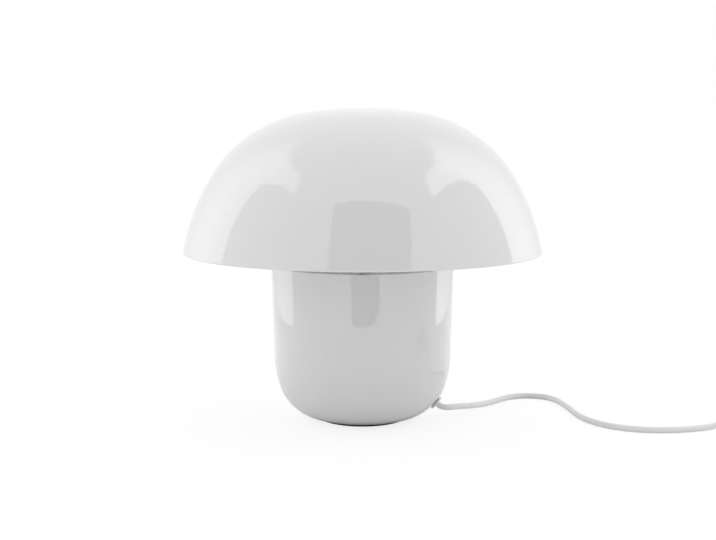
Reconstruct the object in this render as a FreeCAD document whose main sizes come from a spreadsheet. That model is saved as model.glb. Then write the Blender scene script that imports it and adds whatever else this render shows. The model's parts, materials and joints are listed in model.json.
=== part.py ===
"""Mushroom table lamp: a spun dome shade that lifts off a wide stem with a rounded foot.

Millimetres. The origin is on the table plane, on the lamp's axis. +Z is up, -Y is the front,
and the mains cord leaves low on the +X side.
"""
import FreeCAD, Part
import math
import os
import re

import Sketcher
from FreeCAD import Placement, Rotation, Vector

# Driving sizes. Each one can be changed by itself.
SIZES = {
    # foot
    "pad_radius": 37, "pad_bore": 27, "pad_thickness": 1.2,
    # stem: a spun cup with a raised middle under it
    "stem_wall": 1.2, "stem_radius": 75, "stem_lean": 1.54, "stem_height": 131,
    "heel_radius": 53, "heel_angle": 14.2, "belly_radius": 38.2, "belly_angle": 69.7,
    "flank_radius": 88.4, "dimple_radius": 23, "dimple_depth": 3, "dimple_slope": 3,
    # iron weight in the stem
    "ballast_top": 23, "ballast_bore": 6, "ballast_gap": 0.3, "notch_width": 15, "notch_depth": 16,
    "ballast_screw_circle": 15, "ballast_screw_length": 10,
    # lid of the stem and its brackets
    "lid_thickness": 1.5, "lid_recess": 0.8, "lid_gap": 0.4, "bracket_reach": 14, "bracket_drop": 12,
    "bracket_sheet": 1.5, "bracket_width": 12, "lid_screw_inset": 8,
    # threaded nipple with its nuts, and the washer under the lid
    "nipple_radius": 5, "nipple_bore": 3.5, "nipple_below": 12, "nipple_above": 10,
    "nipple_nut_width": 14, "nipple_nut_height": 3, "washer_radius": 9, "washer_thickness": 1,
    "thread_gap": 0.05,
    # shade carrier: a foot plate, three rods and a seat
    "carrier_plate_radius": 36, "carrier_sheet": 2, "rod_circle": 31, "rod_radius": 2,
    "rivet_radius": 1.4, "seat_radius": 38.6, "seat_opening": 22, "cushion_thickness": 2,
    "cushion_width": 9,
    # shade: three arcs in a row, crown, shoulder and side
    "shade_radius": 150, "shade_wall": 1.2, "rim_gap": 12, "crown_radius": 307.4, "crown_angle": 8.7,
    "shoulder_angle": 59.7, "side_radius": 186.4, "side_angle": 79.4, "hem_angle": 1.6,
    "collar_wall": 1, "collar_gap": 0.4, "collar_rise": 7, "collar_skirt": 3.6, "weld_gap": 0.2,
    # lampholder
    "cap_neck_radius": 8, "cap_radius": 14, "cap_height": 18, "skirt_radius": 14, "skirt_height": 46,
    "skirt_wall": 2, "core_floor": 12, "core_thickness": 7, "socket_radius": 7.7, "socket_wall": 0.5,
    # bulb
    "bulb_length": 78, "bulb_radius": 22.5, "bulb_cap_radius": 6.95, "bulb_cap_height": 19,
    "bulb_tip_height": 22, "globe_height": 36, "globe_wall": 1.2, "housing_height": 17,
    # grommet and cord
    "exit_azimuth": -12, "exit_slope": 50, "grommet_radius": 6, "grommet_flange": 1.8,
    "grommet_neck": 4, "grommet_hole_gap": 0.1, "cord_stub": 4.5, "cord_radius": 2.5, "cord_gap": 0.1,
    "clamp_rise": 4.5, "clamp_width": 22, "clamp_length": 6, "clamp_reach": 33.5, "clamp_bar": 4,
    "clamp_screw_spacing": 15,
    # switch on the cord
    "switch_length": 62, "switch_width": 25, "switch_end": 15, "switch_half": 8.5, "switch_wall": 1.8,
    "switch_round": 3, "rocker_sweep": 8.6, "rocker_width": 8.8, "rocker_gap": 0.35,
    "rocker_tilt": 8, "pivot_height": 13, "pivot_radius": 1.2, "pivot_gap": 0.06, "ear_thickness": 1.6,
    # plug
    "plug_width": 35, "plug_thickness": 13.7, "plug_length": 27, "plug_neck": 12,
    "plug_relief": 14, "pin_spacing": 18.6, "pin_radius": 2, "pin_length": 19,
    # coil
    "coil_radius": 38.5, "coil_pitch": 5.5, "coil_turns": 6.25,
}

# Sizes that follow from the driving ones.
PLACES = {
    # stem: centres of the three arcs of its lower corner
    "flank_angle": "90 - stem_lean",
    "stem_flat": "stem_radius - heel_radius * sin(heel_angle)"
                 " - belly_radius * (sin(belly_angle) - sin(heel_angle))"
                 " - flank_radius * (cos(stem_lean) - sin(belly_angle))",
    "heel_height": "pad_thickness + heel_radius",
    "belly_reach": "stem_flat + (heel_radius - belly_radius) * sin(heel_angle)",
    "belly_height": "heel_height - (heel_radius - belly_radius) * cos(heel_angle)",
    "flank_reach": "belly_reach + (belly_radius - flank_radius) * sin(belly_angle)",
    "flank_height": "belly_height - (belly_radius - flank_radius) * cos(belly_angle)",
    "dimple_height": "pad_thickness + dimple_depth",
    "ballast_bottom": "dimple_height + stem_wall",
    "ballast_inset": "stem_wall + ballast_gap",
    # lid, nipple and carrier
    "lid_top": "stem_height - lid_recess",
    "lid_bottom": "lid_top - lid_thickness",
    "lid_radius": "flank_reach + (flank_radius - stem_wall) * cos(stem_lean)"
                  " + (lid_bottom - flank_height + (flank_radius - stem_wall) * sin(stem_lean))"
                  " * tan(stem_lean) - lid_gap",
    "bracket_radius": "lid_radius - bracket_drop * tan(stem_lean)",
    "carrier_top": "lid_top + carrier_sheet",
    "holder_bottom": "carrier_top + nipple_nut_height",
    # shade: radii, centres and the height of its crown
    "rim_height": "stem_height + rim_gap",
    "shoulder_radius": "(shade_radius - crown_radius * sin(crown_angle)"
                       " - side_radius * (sin(side_angle) - sin(shoulder_angle)))"
                       " / (sin(shoulder_angle) - sin(crown_angle))",
    "crown_top": "rim_height + crown_radius * (1 - cos(crown_angle))"
                 " + shoulder_radius * (cos(crown_angle) - cos(shoulder_angle))"
                 " + side_radius * (cos(shoulder_angle) - cos(side_angle))",
    "crown_height": "crown_top - crown_radius",
    "shoulder_reach": "(crown_radius - shoulder_radius) * sin(crown_angle)",
    "shoulder_height": "crown_height + (crown_radius - shoulder_radius) * cos(crown_angle)",
    "side_reach": "shoulder_reach + (shoulder_radius - side_radius) * sin(shoulder_angle)",
    "side_height": "shoulder_height + (shoulder_radius - side_radius) * cos(shoulder_angle)",
    # collar under the crown, and the seat that carries it
    "collar_inside": "seat_radius + collar_gap",
    "collar_outside": "collar_inside + collar_wall",
    "collar_top": "crown_height - weld_gap + sqrt((crown_radius - shade_wall)^2 - collar_outside^2)",
    "cushion_top": "collar_top - collar_rise",
    "seat_top": "cushion_top - cushion_thickness",
    "seat_bottom": "seat_top - carrier_sheet",
    # bulb
    "bulb_bottom": "holder_bottom + bulb_tip_height",
    "globe_bottom": "bulb_bottom + bulb_length - globe_height",
    "globe_centre": "bulb_bottom + bulb_length - bulb_radius",
    # grommet: the point of the stem's skin where the cord leaves
    "exit_reach": "belly_reach + belly_radius * sin(exit_slope)",
    "exit_height": "belly_height - belly_radius * cos(exit_slope)",
    "clamp_top": "ballast_top + clamp_rise",
    # switch on the cord
    "switch_height": "2 * switch_half",
}

# Middle of the cord above the clamp inside the lamp: reach from the axis, height.
INNER_CORD = ((-3, 52), (4, 92), (0, 116), (0, 139))
INNER_CORD_TURN = 20
# Free cord, from the end of its straight stub at the grommet to the switch, the coil and the plug.
CORD_TO_SWITCH = (
    (72.6, -13, 10.7), (80, -5, 9.6), (92, 9, 6.9), (109, 31.5, 3.4), (134, 65, 2.6),
    (155.5, 69, 2.6), (173, 57, 2.6), (180, 22, 2.6), (183, -14, 2.6), (197, -42, 2.6),
    (224, -58, 2.6), (256, -58, 2.6), (284, -48, 2.6), (297, -43, 5.2), (310, -40, 8.5),
)
SWITCH_PLACE = (350, -40, 0)
CORD_TO_COIL = ((390, -40, 8.5), (403, -43, 5.4), (418, -55, 2.6), (426.9, -80, 2.6))
COIL_PLACE = (388, -104, 2.6)
CORD_TO_PLUG = ((371, -142.9, 7.9), (358, -143.2, 6.85))
PLUG_PLACE = (346, -143.2, 0)

doc = FreeCAD.newDocument("mushroom_lamp")


def full(expression, own_sheet=None):
    """The expression with each named size written as sheet.name."""
    def prefixed(match):
        word = match.group(0)
        for sheet, names in (("Sizes", SIZES), ("Places", PLACES)):
            if word in names:
                return word if sheet == own_sheet else f"{sheet}.{word}"
        return word
    return re.sub(r"[a-z][a-z_0-9]*", prefixed, str(expression))


def fill_sheet(name, cells):
    """A spreadsheet with a name beside each value."""
    sheet = doc.addObject("Spreadsheet::Sheet", name)
    for row, (alias, content) in enumerate(cells.items(), start=1):
        sheet.set(f"A{row}", alias)
        sheet.set(f"B{row}", content)
        sheet.setAlias(f"B{row}", alias)
    doc.recompute()
    return sheet


fill_sheet("Sizes", {name: str(value) for name, value in SIZES.items()})
places = fill_sheet("Places", {name: "=" + full(text, "Places") for name, text in PLACES.items()})


def number(expression):
    """The value of an expression of named sizes."""
    return float(places.evalExpression(full(expression)))


# ---------------------------------------------------------------- outlines

def point(x, y, radius=None, turn="left"):
    """A corner of an outline; with a radius, the way to the next corner is an arc."""
    return {"x": str(x), "y": str(y), "radius": radius, "turn": turn}


def turned_round(outline):
    """The same open outline, walked from its end to its start."""
    result = []
    for index in range(len(outline) - 1, -1, -1):
        corner = outline[index]
        way = outline[index - 1] if index else {"radius": None, "turn": "left"}
        turn = "right" if way["turn"] == "left" else "left"
        result.append(point(corner["x"], corner["y"], way["radius"], turn))
    return result


def arc_between(start, end, radius, turn):
    """The short arc of this radius from start to end, bending left or right."""
    chord = end - start
    rise = math.sqrt(max(radius * radius - chord.Length * chord.Length / 4, 0.0))
    side = 1 if turn == "left" else -1
    across = Vector(-chord.y, chord.x, 0).normalize() * side
    centre = (start + end) * 0.5 + across * rise
    first, last = (start, end) if turn == "left" else (end, start)
    begin = math.atan2(first.y - centre.y, first.x - centre.x)
    finish = math.atan2(last.y - centre.y, last.x - centre.x)
    circle = Part.Circle(centre, Vector(0, 0, 1), radius)
    return Part.ArcOfCircle(circle, begin, finish)


def bind_corner(sketch, geometry, end, corner):
    """Hold one end of a piece of geometry at the corner's named place."""
    for axis, name in (("DistanceX", "x"), ("DistanceY", "y")):
        value = number(corner[name])
        index = sketch.addConstraint(Sketcher.Constraint(axis, -1, 1, geometry, end, value))
        sketch.setExpression(f"Constraints[{index}]", full(corner[name]))


def draw(sketch, outline):
    """Draw a closed outline of lines and arcs, each corner and radius bound to its expression."""
    spots = [Vector(number(corner["x"]), number(corner["y"]), 0) for corner in outline]
    ends = []
    for index, corner in enumerate(outline):
        start, end = spots[index], spots[(index + 1) % len(spots)]
        if corner["radius"] is None:
            geometry = sketch.addGeometry(Part.LineSegment(start, end))
            ends.append((geometry, 1, 2))
            continue
        radius = number(corner["radius"])
        geometry = sketch.addGeometry(arc_between(start, end, radius, corner["turn"]))
        ends.append((geometry, 1, 2) if corner["turn"] == "left" else (geometry, 2, 1))
        held = sketch.addConstraint(Sketcher.Constraint("Radius", geometry, radius))
        sketch.setExpression(f"Constraints[{held}]", full(corner["radius"]))
    for index, corner in enumerate(outline):
        geometry, start, _ = ends[index]
        before, _, finish = ends[index - 1]
        bind_corner(sketch, geometry, start, corner)
        sketch.addConstraint(Sketcher.Constraint("Coincident", before, finish, geometry, start))


def draw_circle(sketch, x, y, radius):
    """A full circle held at a named place."""
    circle = Part.Circle(Vector(number(x), number(y), 0), Vector(0, 0, 1), number(radius))
    geometry = sketch.addGeometry(circle)
    bind_corner(sketch, geometry, 3, point(x, y))
    held = sketch.addConstraint(Sketcher.Constraint("Radius", geometry, number(radius)))
    sketch.setExpression(f"Constraints[{held}]", full(radius))


# ---------------------------------------------------------------- bodies and features

def new_body(label):
    body = doc.addObject("PartDesign::Body", label)
    body.Label = label
    return body


def new_sketch(body, plane, outline=(), circles=(), height=0):
    """A sketch on one of the body's own planes, raised by height."""
    sketch = body.newObject("Sketcher::SketchObject", body.Label + "_sketch")
    support = [item for item in body.Origin.OriginFeatures if item.Role == plane][0]
    sketch.AttachmentSupport = [(support, "")]
    sketch.MapMode = "FlatFace"
    sketch.setExpression("AttachmentOffset.Base.z", full(height))
    if outline:
        draw(sketch, outline)
    for circle in circles:
        draw_circle(sketch, *circle)
    return sketch


def turn_solid(body, outline, axis_at=None, sweep=360):
    """Turn an outline in the XZ plane about the Z axis, or about a line parallel to it."""
    sketch = new_sketch(body, "XZ_Plane", outline)
    feature = body.newObject("PartDesign::Revolution", body.Label + "_turned")
    feature.Profile = sketch
    axis = "V_Axis"
    if axis_at is not None:
        foot = Vector(number(axis_at), 0, 0)
        line = sketch.addGeometry(Part.LineSegment(foot, foot + Vector(0, 10, 0)), True)
        bind_corner(sketch, line, 1, point(axis_at, 0))
        bind_corner(sketch, line, 2, point(axis_at, 10))
        axis = "Axis0"
    feature.ReferenceAxis = (sketch, [axis])
    feature.Angle = sweep
    feature.Midplane = sweep != 360
    return feature


def add_pad(body, plane, length, outline=(), circles=(), height=0, middle=False):
    """Extrude a sketch; on XZ planes the way is -Y, and middle extrudes both ways alike."""
    feature = body.newObject("PartDesign::Pad", body.Label + "_pad")
    feature.Profile = new_sketch(body, plane, outline, circles, height)
    feature.setExpression("Length", full(length))
    feature.Midplane = middle
    return feature


def add_pocket(body, plane, length, outline=(), circles=(), height=0, middle=False, upward=True):
    """Cut a sketch out of the body and make sure that the cut removes something."""
    doc.recompute()
    before = body.Shape.Volume
    feature = body.newObject("PartDesign::Pocket", body.Label + "_pocket")
    feature.Profile = new_sketch(body, plane, outline, circles, height)
    feature.setExpression("Length", full(length))
    feature.Midplane = middle
    feature.Reversed = upward and not middle
    doc.recompute()
    if body.Shape.Volume > before - 0.01:
        raise RuntimeError("a pocket of " + body.Label + " cuts nothing")
    return feature


def round_edges(body, radius, chosen):
    """Fillet the edges of the body's last feature that the test chooses."""
    doc.recompute()
    base = body.Tip
    names = [f"Edge{i}" for i, edge in enumerate(base.Shape.Edges, start=1) if chosen(edge)]
    feature = body.newObject("PartDesign::Fillet", body.Label + "_fillet")
    feature.Base = (base, names)
    feature.setExpression("Radius", full(radius))
    return feature


def ring_of(body, feature, count, turn=0):
    """Repeat a feature evenly round the Z axis as separate solids, the first one turned."""
    pattern = body.newObject("PartDesign::PolarPattern", body.Label + "_ring")
    pattern.Originals = [feature]
    axis = [item for item in body.Origin.OriginFeatures if item.Role == "Z_Axis"][0]
    pattern.Axis = (axis, [""])
    pattern.Angle = 360
    pattern.Occurrences = count
    body.Tip = pattern
    body.Placement = Placement(Vector(0, 0, 0), Rotation(Vector(0, 0, 1), turn))
    return pattern


def is_upright(edge):
    """Whether an edge runs along Z."""
    ends = edge.Vertexes[-1].Point - edge.Vertexes[0].Point
    return ends.Length > 0.5 and abs(ends.normalize().z) > 0.99


def at_height(edge, height):
    """Whether a whole edge lies at this height."""
    box = edge.BoundBox
    return abs(box.ZMin - height) < 0.01 and abs(box.ZMax - height) < 0.01


def ring(label, inner, outer, bottom, top):
    """A plain ring or disc about the Z axis."""
    body = new_body(label)
    turn_solid(body, [point(inner, bottom), point(outer, bottom), point(outer, top), point(inner, top)])
    return body


def cut_solid(label, base, tool):
    """A piece cut by a tool solid."""
    piece = doc.addObject("Part::Cut", label)
    piece.Base = base
    piece.Tool = tool
    piece.Label = label
    return piece


def hexagon(width, x=0):
    """Corners of a hexagon of this width across its flats."""
    corner = f"{width} / 2 / cos(30)"
    return [point(f"{x} + {corner} * cos({60 * k})", f"{corner} * sin({60 * k})") for k in range(6)]


# ---------------------------------------------------------------- stem

def corner_arc(arc, angle, inset):
    """A point of the stem's lower corner, inset under its skin, at an angle from straight down."""
    radius = f"({arc}_radius - ({inset}))"
    centre = "stem_flat" if arc == "heel" else f"{arc}_reach"
    return f"{centre} + {radius} * sin({angle})", f"{arc}_height - {radius} * cos({angle})"


def stem_side(inset):
    """The stem's side at a depth under its skin, from the flat of its foot up to its edge."""
    side_x, side_y = corner_arc("flank", "flank_angle", inset)
    heel_radius, belly_radius = f"heel_radius - ({inset})", f"belly_radius - ({inset})"
    return [
        point("stem_flat", f"pad_thickness + ({inset})", heel_radius),
        point(*corner_arc("heel", "heel_angle", inset), belly_radius),
        point(*corner_arc("belly", "belly_angle", inset), f"flank_radius - ({inset})"),
        point(side_x, side_y),
        point(f"{side_x} + (stem_height - ({side_y})) * tan(stem_lean)", "stem_height"),
    ]


def exit_placement(offset=0):
    """The frame of the cord's exit: its Z axis points out of the stem's skin."""
    azimuth, slope = math.radians(number("exit_azimuth")), math.radians(number("exit_slope"))
    around = Vector(math.cos(azimuth), math.sin(azimuth), 0)
    normal = around * math.sin(slope) - Vector(0, 0, 1) * math.cos(slope)
    skin = around * number("exit_reach") + Vector(0, 0, number("exit_height"))
    return Placement(skin + normal * offset, Rotation(Vector(0, 0, 1), normal))


def make_stem_shell():
    body = new_body("stem_shell_spun")
    outside = stem_side("0")
    inside = turned_round(stem_side("stem_wall"))
    raised = [
        point("dimple_radius + dimple_slope", "pad_thickness + stem_wall"),
        point("dimple_radius", "ballast_bottom"),
        point(0, "ballast_bottom"),
        point(0, "dimple_height"),
        point("dimple_radius", "dimple_height"),
        point("dimple_radius + dimple_slope", "pad_thickness"),
    ]
    turn_solid(body, outside + inside + raised)
    screws = add_pocket(body, "XY_Plane", "stem_wall + 2", height="dimple_height - 1",
                        circles=[("ballast_screw_circle", 0, 2.2)])
    ring_of(body, screws, 3)
    hole = doc.addObject("Part::Cylinder", "exit_hole")
    hole.setExpression("Radius", full("grommet_neck + grommet_hole_gap"))
    hole.Height = 20
    hole.Placement = exit_placement(-10)
    return cut_solid("stem_shell", body, hole)


def make_ballast():
    body = new_body("ballast_cast")
    arc = "belly_radius - ballast_inset"

    def reach(height):
        return f"belly_reach + sqrt(({arc})^2 - (belly_height - {height})^2)"

    turn_solid(body, [
        point("ballast_bore", "ballast_bottom"),
        point(reach("ballast_bottom"), "ballast_bottom", arc),
        point(reach("ballast_top"), "ballast_top"),
        point("ballast_bore", "ballast_top"),
    ])
    screws = add_pocket(body, "XY_Plane", "ballast_screw_length", height="ballast_bottom",
                        circles=[("ballast_screw_circle", 0, "2 + thread_gap")])
    ring_of(body, screws, 3)
    notch = doc.addObject("Part::Box", "cord_notch")
    notch.setExpression("Length", full("stem_radius"))
    notch.setExpression("Width", full("notch_width"))
    notch.setExpression("Height", full("stem_height"))
    turn = Rotation(Vector(0, 0, 1), number("exit_azimuth"))
    corner = Vector(number("exit_reach - notch_depth"), -number("notch_width") / 2, 0)
    notch.Placement = Placement(turn.multVec(corner), turn)
    return cut_solid("ballast", body, notch)


def make_ballast_screws():
    body = new_body("ballast_screws")
    axis, head = "ballast_screw_circle", "dimple_height"
    screw = turn_solid(body, [
        point(axis, f"{head} - 2.2"), point(f"{axis} + 2.8", f"{head} - 2.2"),
        point(f"{axis} + 4", f"{head} - 1"), point(f"{axis} + 4", head), point(f"{axis} + 2", head),
        point(f"{axis} + 2", f"{head} + ballast_screw_length"),
        point(axis, f"{head} + ballast_screw_length"),
    ], axis_at=axis)
    ring_of(body, screw, 3)
    return body


def make_brackets():
    """Three angle brackets on the stem's wall, which the lid is screwed to."""
    body = new_body("lid_brackets")
    inner, outer = "bracket_radius - bracket_reach", "bracket_radius"
    bracket = turn_solid(body, [
        point(inner, "lid_bottom - bracket_sheet"),
        point(f"{outer} - bracket_sheet", "lid_bottom - bracket_sheet"),
        point(f"{outer} - bracket_sheet", "lid_bottom - bracket_drop"),
        point(outer, "lid_bottom - bracket_drop"),
        point(outer, "lid_bottom"), point(inner, "lid_bottom"),
    ], sweep=round(math.degrees(number("bracket_width / bracket_radius")), 1))
    hole = add_pocket(body, "XY_Plane", "bracket_sheet + 2", height="lid_bottom - bracket_sheet - 1",
                      circles=[("bracket_radius - lid_screw_inset", 0, 1.6)])
    pattern = ring_of(body, bracket, 3, 30)
    pattern.Originals = [bracket, hole]
    return body


def make_lid():
    body = new_body("stem_lid")
    turn_solid(body, [
        point("nipple_radius + thread_gap", "lid_bottom"),
        point("lid_radius", "lid_bottom"),
        point("lid_radius", "lid_top"),
        point("nipple_radius + thread_gap", "lid_top"),
    ])
    screws = add_pocket(body, "XY_Plane", "lid_thickness + 2", height="lid_bottom - 1",
                        circles=[("bracket_radius - lid_screw_inset", 0, 1.6)])
    ring_of(body, screws, 3, 30)
    return body


def make_lid_screws():
    body = new_body("lid_screws")
    axis = "bracket_radius - lid_screw_inset"
    screw = turn_solid(body, [
        point(axis, "lid_bottom - bracket_sheet - 3"),
        point(f"{axis} + 1.5", "lid_bottom - bracket_sheet - 3"),
        point(f"{axis} + 1.5", "lid_top"), point(f"{axis} + 3", "lid_top"),
        point(f"{axis} + 3", "lid_top + 0.8"), point(f"{axis} + 1.8", "lid_top + 2"),
        point(axis, "lid_top + 2"),
    ], axis_at=axis)
    ring_of(body, screw, 3, 30)
    return body


# ---------------------------------------------------------------- nipple and shade carrier

def make_nipple_set():
    """The threaded nipple through the lid, a washer under it and a nut at each side."""
    ring("nipple", "nipple_bore", "nipple_radius", "lid_bottom - nipple_below",
         "carrier_top + nipple_above")
    ring("nipple_washer", "nipple_radius + thread_gap", "washer_radius",
         "lid_bottom - washer_thickness", "lid_bottom")
    nuts = new_body("nipple_nuts")
    for bottom in ("carrier_top", "lid_bottom - washer_thickness - nipple_nut_height"):
        add_pad(nuts, "XY_Plane", "nipple_nut_height", hexagon("nipple_nut_width"),
                [(0, 0, "nipple_radius + thread_gap")], height=bottom)


def make_carrier():
    """Foot plate, three riveted rods, seat and the cushion that the shade rests on."""
    plate = new_body("carrier_plate")
    add_pad(plate, "XY_Plane", "carrier_sheet", height="lid_top",
            circles=[(0, 0, "carrier_plate_radius"), (0, 0, "nipple_radius + thread_gap")])
    holes = add_pocket(plate, "XY_Plane", "carrier_sheet", height="lid_top",
                       circles=[("rod_circle", 0, "rivet_radius + thread_gap")])
    ring_of(plate, holes, 3, 90)
    seat = new_body("carrier_seat")
    add_pad(seat, "XY_Plane", "carrier_sheet", height="seat_bottom",
            circles=[(0, 0, "seat_radius"), (0, 0, "seat_opening")])
    holes = add_pocket(seat, "XY_Plane", "carrier_sheet", height="seat_bottom",
                       circles=[("rod_circle", 0, "rivet_radius + thread_gap")])
    ring_of(seat, holes, 3, 90)
    for index in range(3):
        rod = new_body(f"carrier_rod_{index + 1}")
        turn_solid(rod, [
            point("rod_circle", "lid_top"), point("rod_circle + rivet_radius", "lid_top"),
            point("rod_circle + rivet_radius", "carrier_top"),
            point("rod_circle + rod_radius", "carrier_top"),
            point("rod_circle + rod_radius", "seat_bottom"),
            point("rod_circle + rivet_radius", "seat_bottom"),
            point("rod_circle + rivet_radius", "seat_top"), point("rod_circle", "seat_top"),
        ], axis_at="rod_circle")
        rod.Placement = Placement(Vector(0, 0, 0), Rotation(Vector(0, 0, 1), 90 + 120 * index))
    ring("seat_cushion", "rod_circle - cushion_width / 2", "rod_circle + cushion_width / 2",
         "seat_top", "cushion_top")


# ---------------------------------------------------------------- shade

def dome_point(arc, angle, inset):
    """A point of the dome, inset under its skin, at an angle from straight up."""
    centre = "0" if arc == "crown" else f"{arc}_reach"
    radius = f"({arc}_radius - ({inset}))"
    return f"{centre} + {radius} * sin({angle})", f"{arc}_height + {radius} * cos({angle})"


def dome_side(inset, last_angle):
    """The dome at a depth under its skin, from its top to the angle where it ends."""
    return [
        point(0, f"crown_top - ({inset})", f"crown_radius - ({inset})", "right"),
        point(*dome_point("crown", "crown_angle", inset), f"shoulder_radius - ({inset})", "right"),
        point(*dome_point("shoulder", "shoulder_angle", inset), f"side_radius - ({inset})", "right"),
        point(*dome_point("side", last_angle, inset)),
    ]


def make_shade():
    """The spun dome: one wall, turned in at its edge to a rounded hem twice as thick."""
    body = new_body("shade")
    outside = dome_side("0", "side_angle")
    outside[-1].update(radius="shade_wall", turn="right")
    middle_x, middle_y = dome_point("side", "side_angle", "shade_wall")
    hem = [
        point(f"{middle_x} + shade_wall * cos(side_angle)",
              f"{middle_y} - shade_wall * sin(side_angle)", "shade_wall", "right"),
        point(*dome_point("side", "side_angle", "2 * shade_wall"),
              "side_radius - 2 * shade_wall", "left"),
        point(*dome_point("side", "side_angle - hem_angle", "2 * shade_wall")),
    ]
    inside = turned_round(dome_side("shade_wall", "side_angle - hem_angle"))
    turn_solid(body, outside + hem + inside)
    collar = new_body("shade_collar")
    turn_solid(collar, [
        point("collar_inside", "cushion_top - collar_skirt"),
        point("collar_outside", "cushion_top - collar_skirt"),
        point("collar_outside", "collar_top"), point("collar_inside", "collar_top"),
        point("collar_inside", "cushion_top + collar_wall"),
        point("seat_opening", "cushion_top + collar_wall"),
        point("seat_opening", "cushion_top"), point("collar_inside", "cushion_top"),
    ])


# ---------------------------------------------------------------- lampholder and bulb

def above_holder(height):
    return f"holder_bottom + {height}"


def make_lampholder():
    bore = "nipple_radius + thread_gap"
    cap = new_body("holder_cap")
    turn_solid(cap, [
        point(bore, "holder_bottom"), point("cap_neck_radius", "holder_bottom"),
        point("cap_neck_radius", above_holder(4)),
        point("cap_radius - 2", above_holder(7), 4), point("cap_radius", above_holder(11)),
        point("cap_radius", above_holder("cap_height")),
        point("cap_radius - 1.4", above_holder("cap_height")),
        point("cap_radius - 1.4", above_holder(9)), point(bore, above_holder(6)),
    ])
    skirt = new_body("holder_skirt")
    turn_solid(skirt, [
        point("cap_radius - 3.4", above_holder("core_floor")),
        point("cap_radius - 1.6", above_holder("core_floor")),
        point("cap_radius - 1.6", above_holder("cap_height")),
        point("skirt_radius", above_holder("cap_height")),
        point("skirt_radius - 1", above_holder("skirt_height - 2"), 2),
        point("skirt_radius - 3", above_holder("skirt_height")),
        point("skirt_radius - 3.4", above_holder("skirt_height")),
    ])
    core = new_body("holder_core")
    turn_solid(core, [
        point(0, above_holder("core_floor")),
        point("skirt_radius - 3.6", above_holder("core_floor")),
        point("skirt_radius - 3.6", above_holder("skirt_height - 2.8")),
        point("socket_radius + 0.1", above_holder("skirt_height - 2.8")),
        point("socket_radius + 0.1", above_holder("core_floor + core_thickness")),
        point(0, above_holder("core_floor + core_thickness")),
    ])
    add_pocket(core, "XY_Plane", "core_thickness - 2", height=above_holder("core_floor"),
               circles=[(5.5, 0, 1.6), (-5.5, 0, 1.6)])
    socket = new_body("holder_thread")
    floor = "core_floor + core_thickness"
    turn_solid(socket, [
        point(4, above_holder(floor)), point("socket_radius", above_holder(floor)),
        point("socket_radius", above_holder("skirt_height - 3")),
        point("socket_radius - socket_wall", above_holder("skirt_height - 3")),
        point("socket_radius - socket_wall", above_holder(floor + " + socket_wall")),
        point(4, above_holder(floor + " + socket_wall")),
    ])
    contact = new_body("centre_contact")
    add_pad(contact, "XZ_Plane", 4, middle=True, outline=[
        point(-3.4, above_holder(floor)), point(3.4, above_holder(floor)),
        point(1.4, above_holder("bulb_tip_height - 0.3")),
        point(-1.4, above_holder("bulb_tip_height - 0.3")),
        point(-3.4, above_holder(floor + " + 0.5")),
    ])


def make_terminal_screws():
    body = new_body("terminal_screws")
    for side in (-5.5, 5.5):
        turn_solid(body, [
            point(side, above_holder("core_floor + 0.5")),
            point(side + 1.5, above_holder("core_floor + 0.5")),
            point(side + 1.5, above_holder("core_floor + core_thickness - 2.2")),
            point(side, above_holder("core_floor + core_thickness - 2.2")),
        ], axis_at=side)
    return body


def make_bulb():
    tip, cap_bottom = "bulb_bottom", "bulb_bottom + 3"
    cap_top = cap_bottom + " + bulb_cap_height"
    ring("bulb_contact", 0, 2.4, tip, tip + " + 0.8")
    insulator = new_body("bulb_insulator")
    turn_solid(insulator, [
        point(0, tip + " + 0.8"), point(3, tip + " + 0.8"), point(6.2, cap_bottom),
        point(6.2, cap_bottom + " + 1"), point(0, cap_bottom + " + 1"),
    ])
    cap = new_body("bulb_cap")
    turn_solid(cap, [
        point(6.25, cap_bottom), point("bulb_cap_radius", cap_bottom + " + 1"),
        point("bulb_cap_radius", cap_top), point(6.25, cap_top),
    ])
    housing = new_body("bulb_housing")
    rim = "sqrt(bulb_radius^2 - (globe_centre - globe_bottom)^2)"
    turn_solid(housing, [
        point(0, cap_top + " - 6"), point(6.2, cap_top + " - 6"), point(6.2, cap_top),
        point(7.6, cap_top), point(rim + " - 2", "globe_bottom - 5"),
        point(rim, "globe_bottom - 2"), point(rim, "globe_bottom"), point(0, "globe_bottom"),
    ])
    globe = new_body("bulb_globe")
    inner_rim = "sqrt((bulb_radius - globe_wall)^2 - (globe_centre - globe_bottom)^2)"
    turn_solid(globe, [
        point(inner_rim, "globe_bottom"), point(rim, "globe_bottom", "bulb_radius"),
        point("bulb_radius", "globe_centre", "bulb_radius"),
        point(0, "globe_centre + bulb_radius"),
        point(0, "globe_centre + bulb_radius - globe_wall", "bulb_radius - globe_wall", "right"),
        point("bulb_radius - globe_wall", "globe_centre", "bulb_radius - globe_wall", "right"),
    ])
    ring("led_board", 0, inner_rim + " - 1.5", "globe_bottom", "globe_bottom + 1.2")


# ---------------------------------------------------------------- cord, grommet and clamp

def rounded_path(points):
    """Straight runs joined by tangent arcs, each as large as its two runs allow."""
    edges, radii, start = [], [], points[0]
    for before, corner, after in zip(points, points[1:], points[2:]):
        arriving, leaving = corner - before, after - corner
        half_turn = arriving.getAngle(leaving) / 2
        cut = 0.45 * min(arriving.Length, leaving.Length)
        radii.append(cut / math.tan(half_turn))
        first = corner - arriving.normalize() * cut
        last = corner + leaving.normalize() * cut
        inward = ((first + last) * 0.5 - corner).normalize()
        middle = corner + inward * (radii[-1] / math.cos(half_turn) - radii[-1])
        edges.append(Part.LineSegment(start, first).toShape())
        edges.append(Part.Arc(first, middle, last).toShape())
        start = last
    edges.append(Part.LineSegment(start, points[-1]).toShape())
    return Part.Wire(edges), radii


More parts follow.
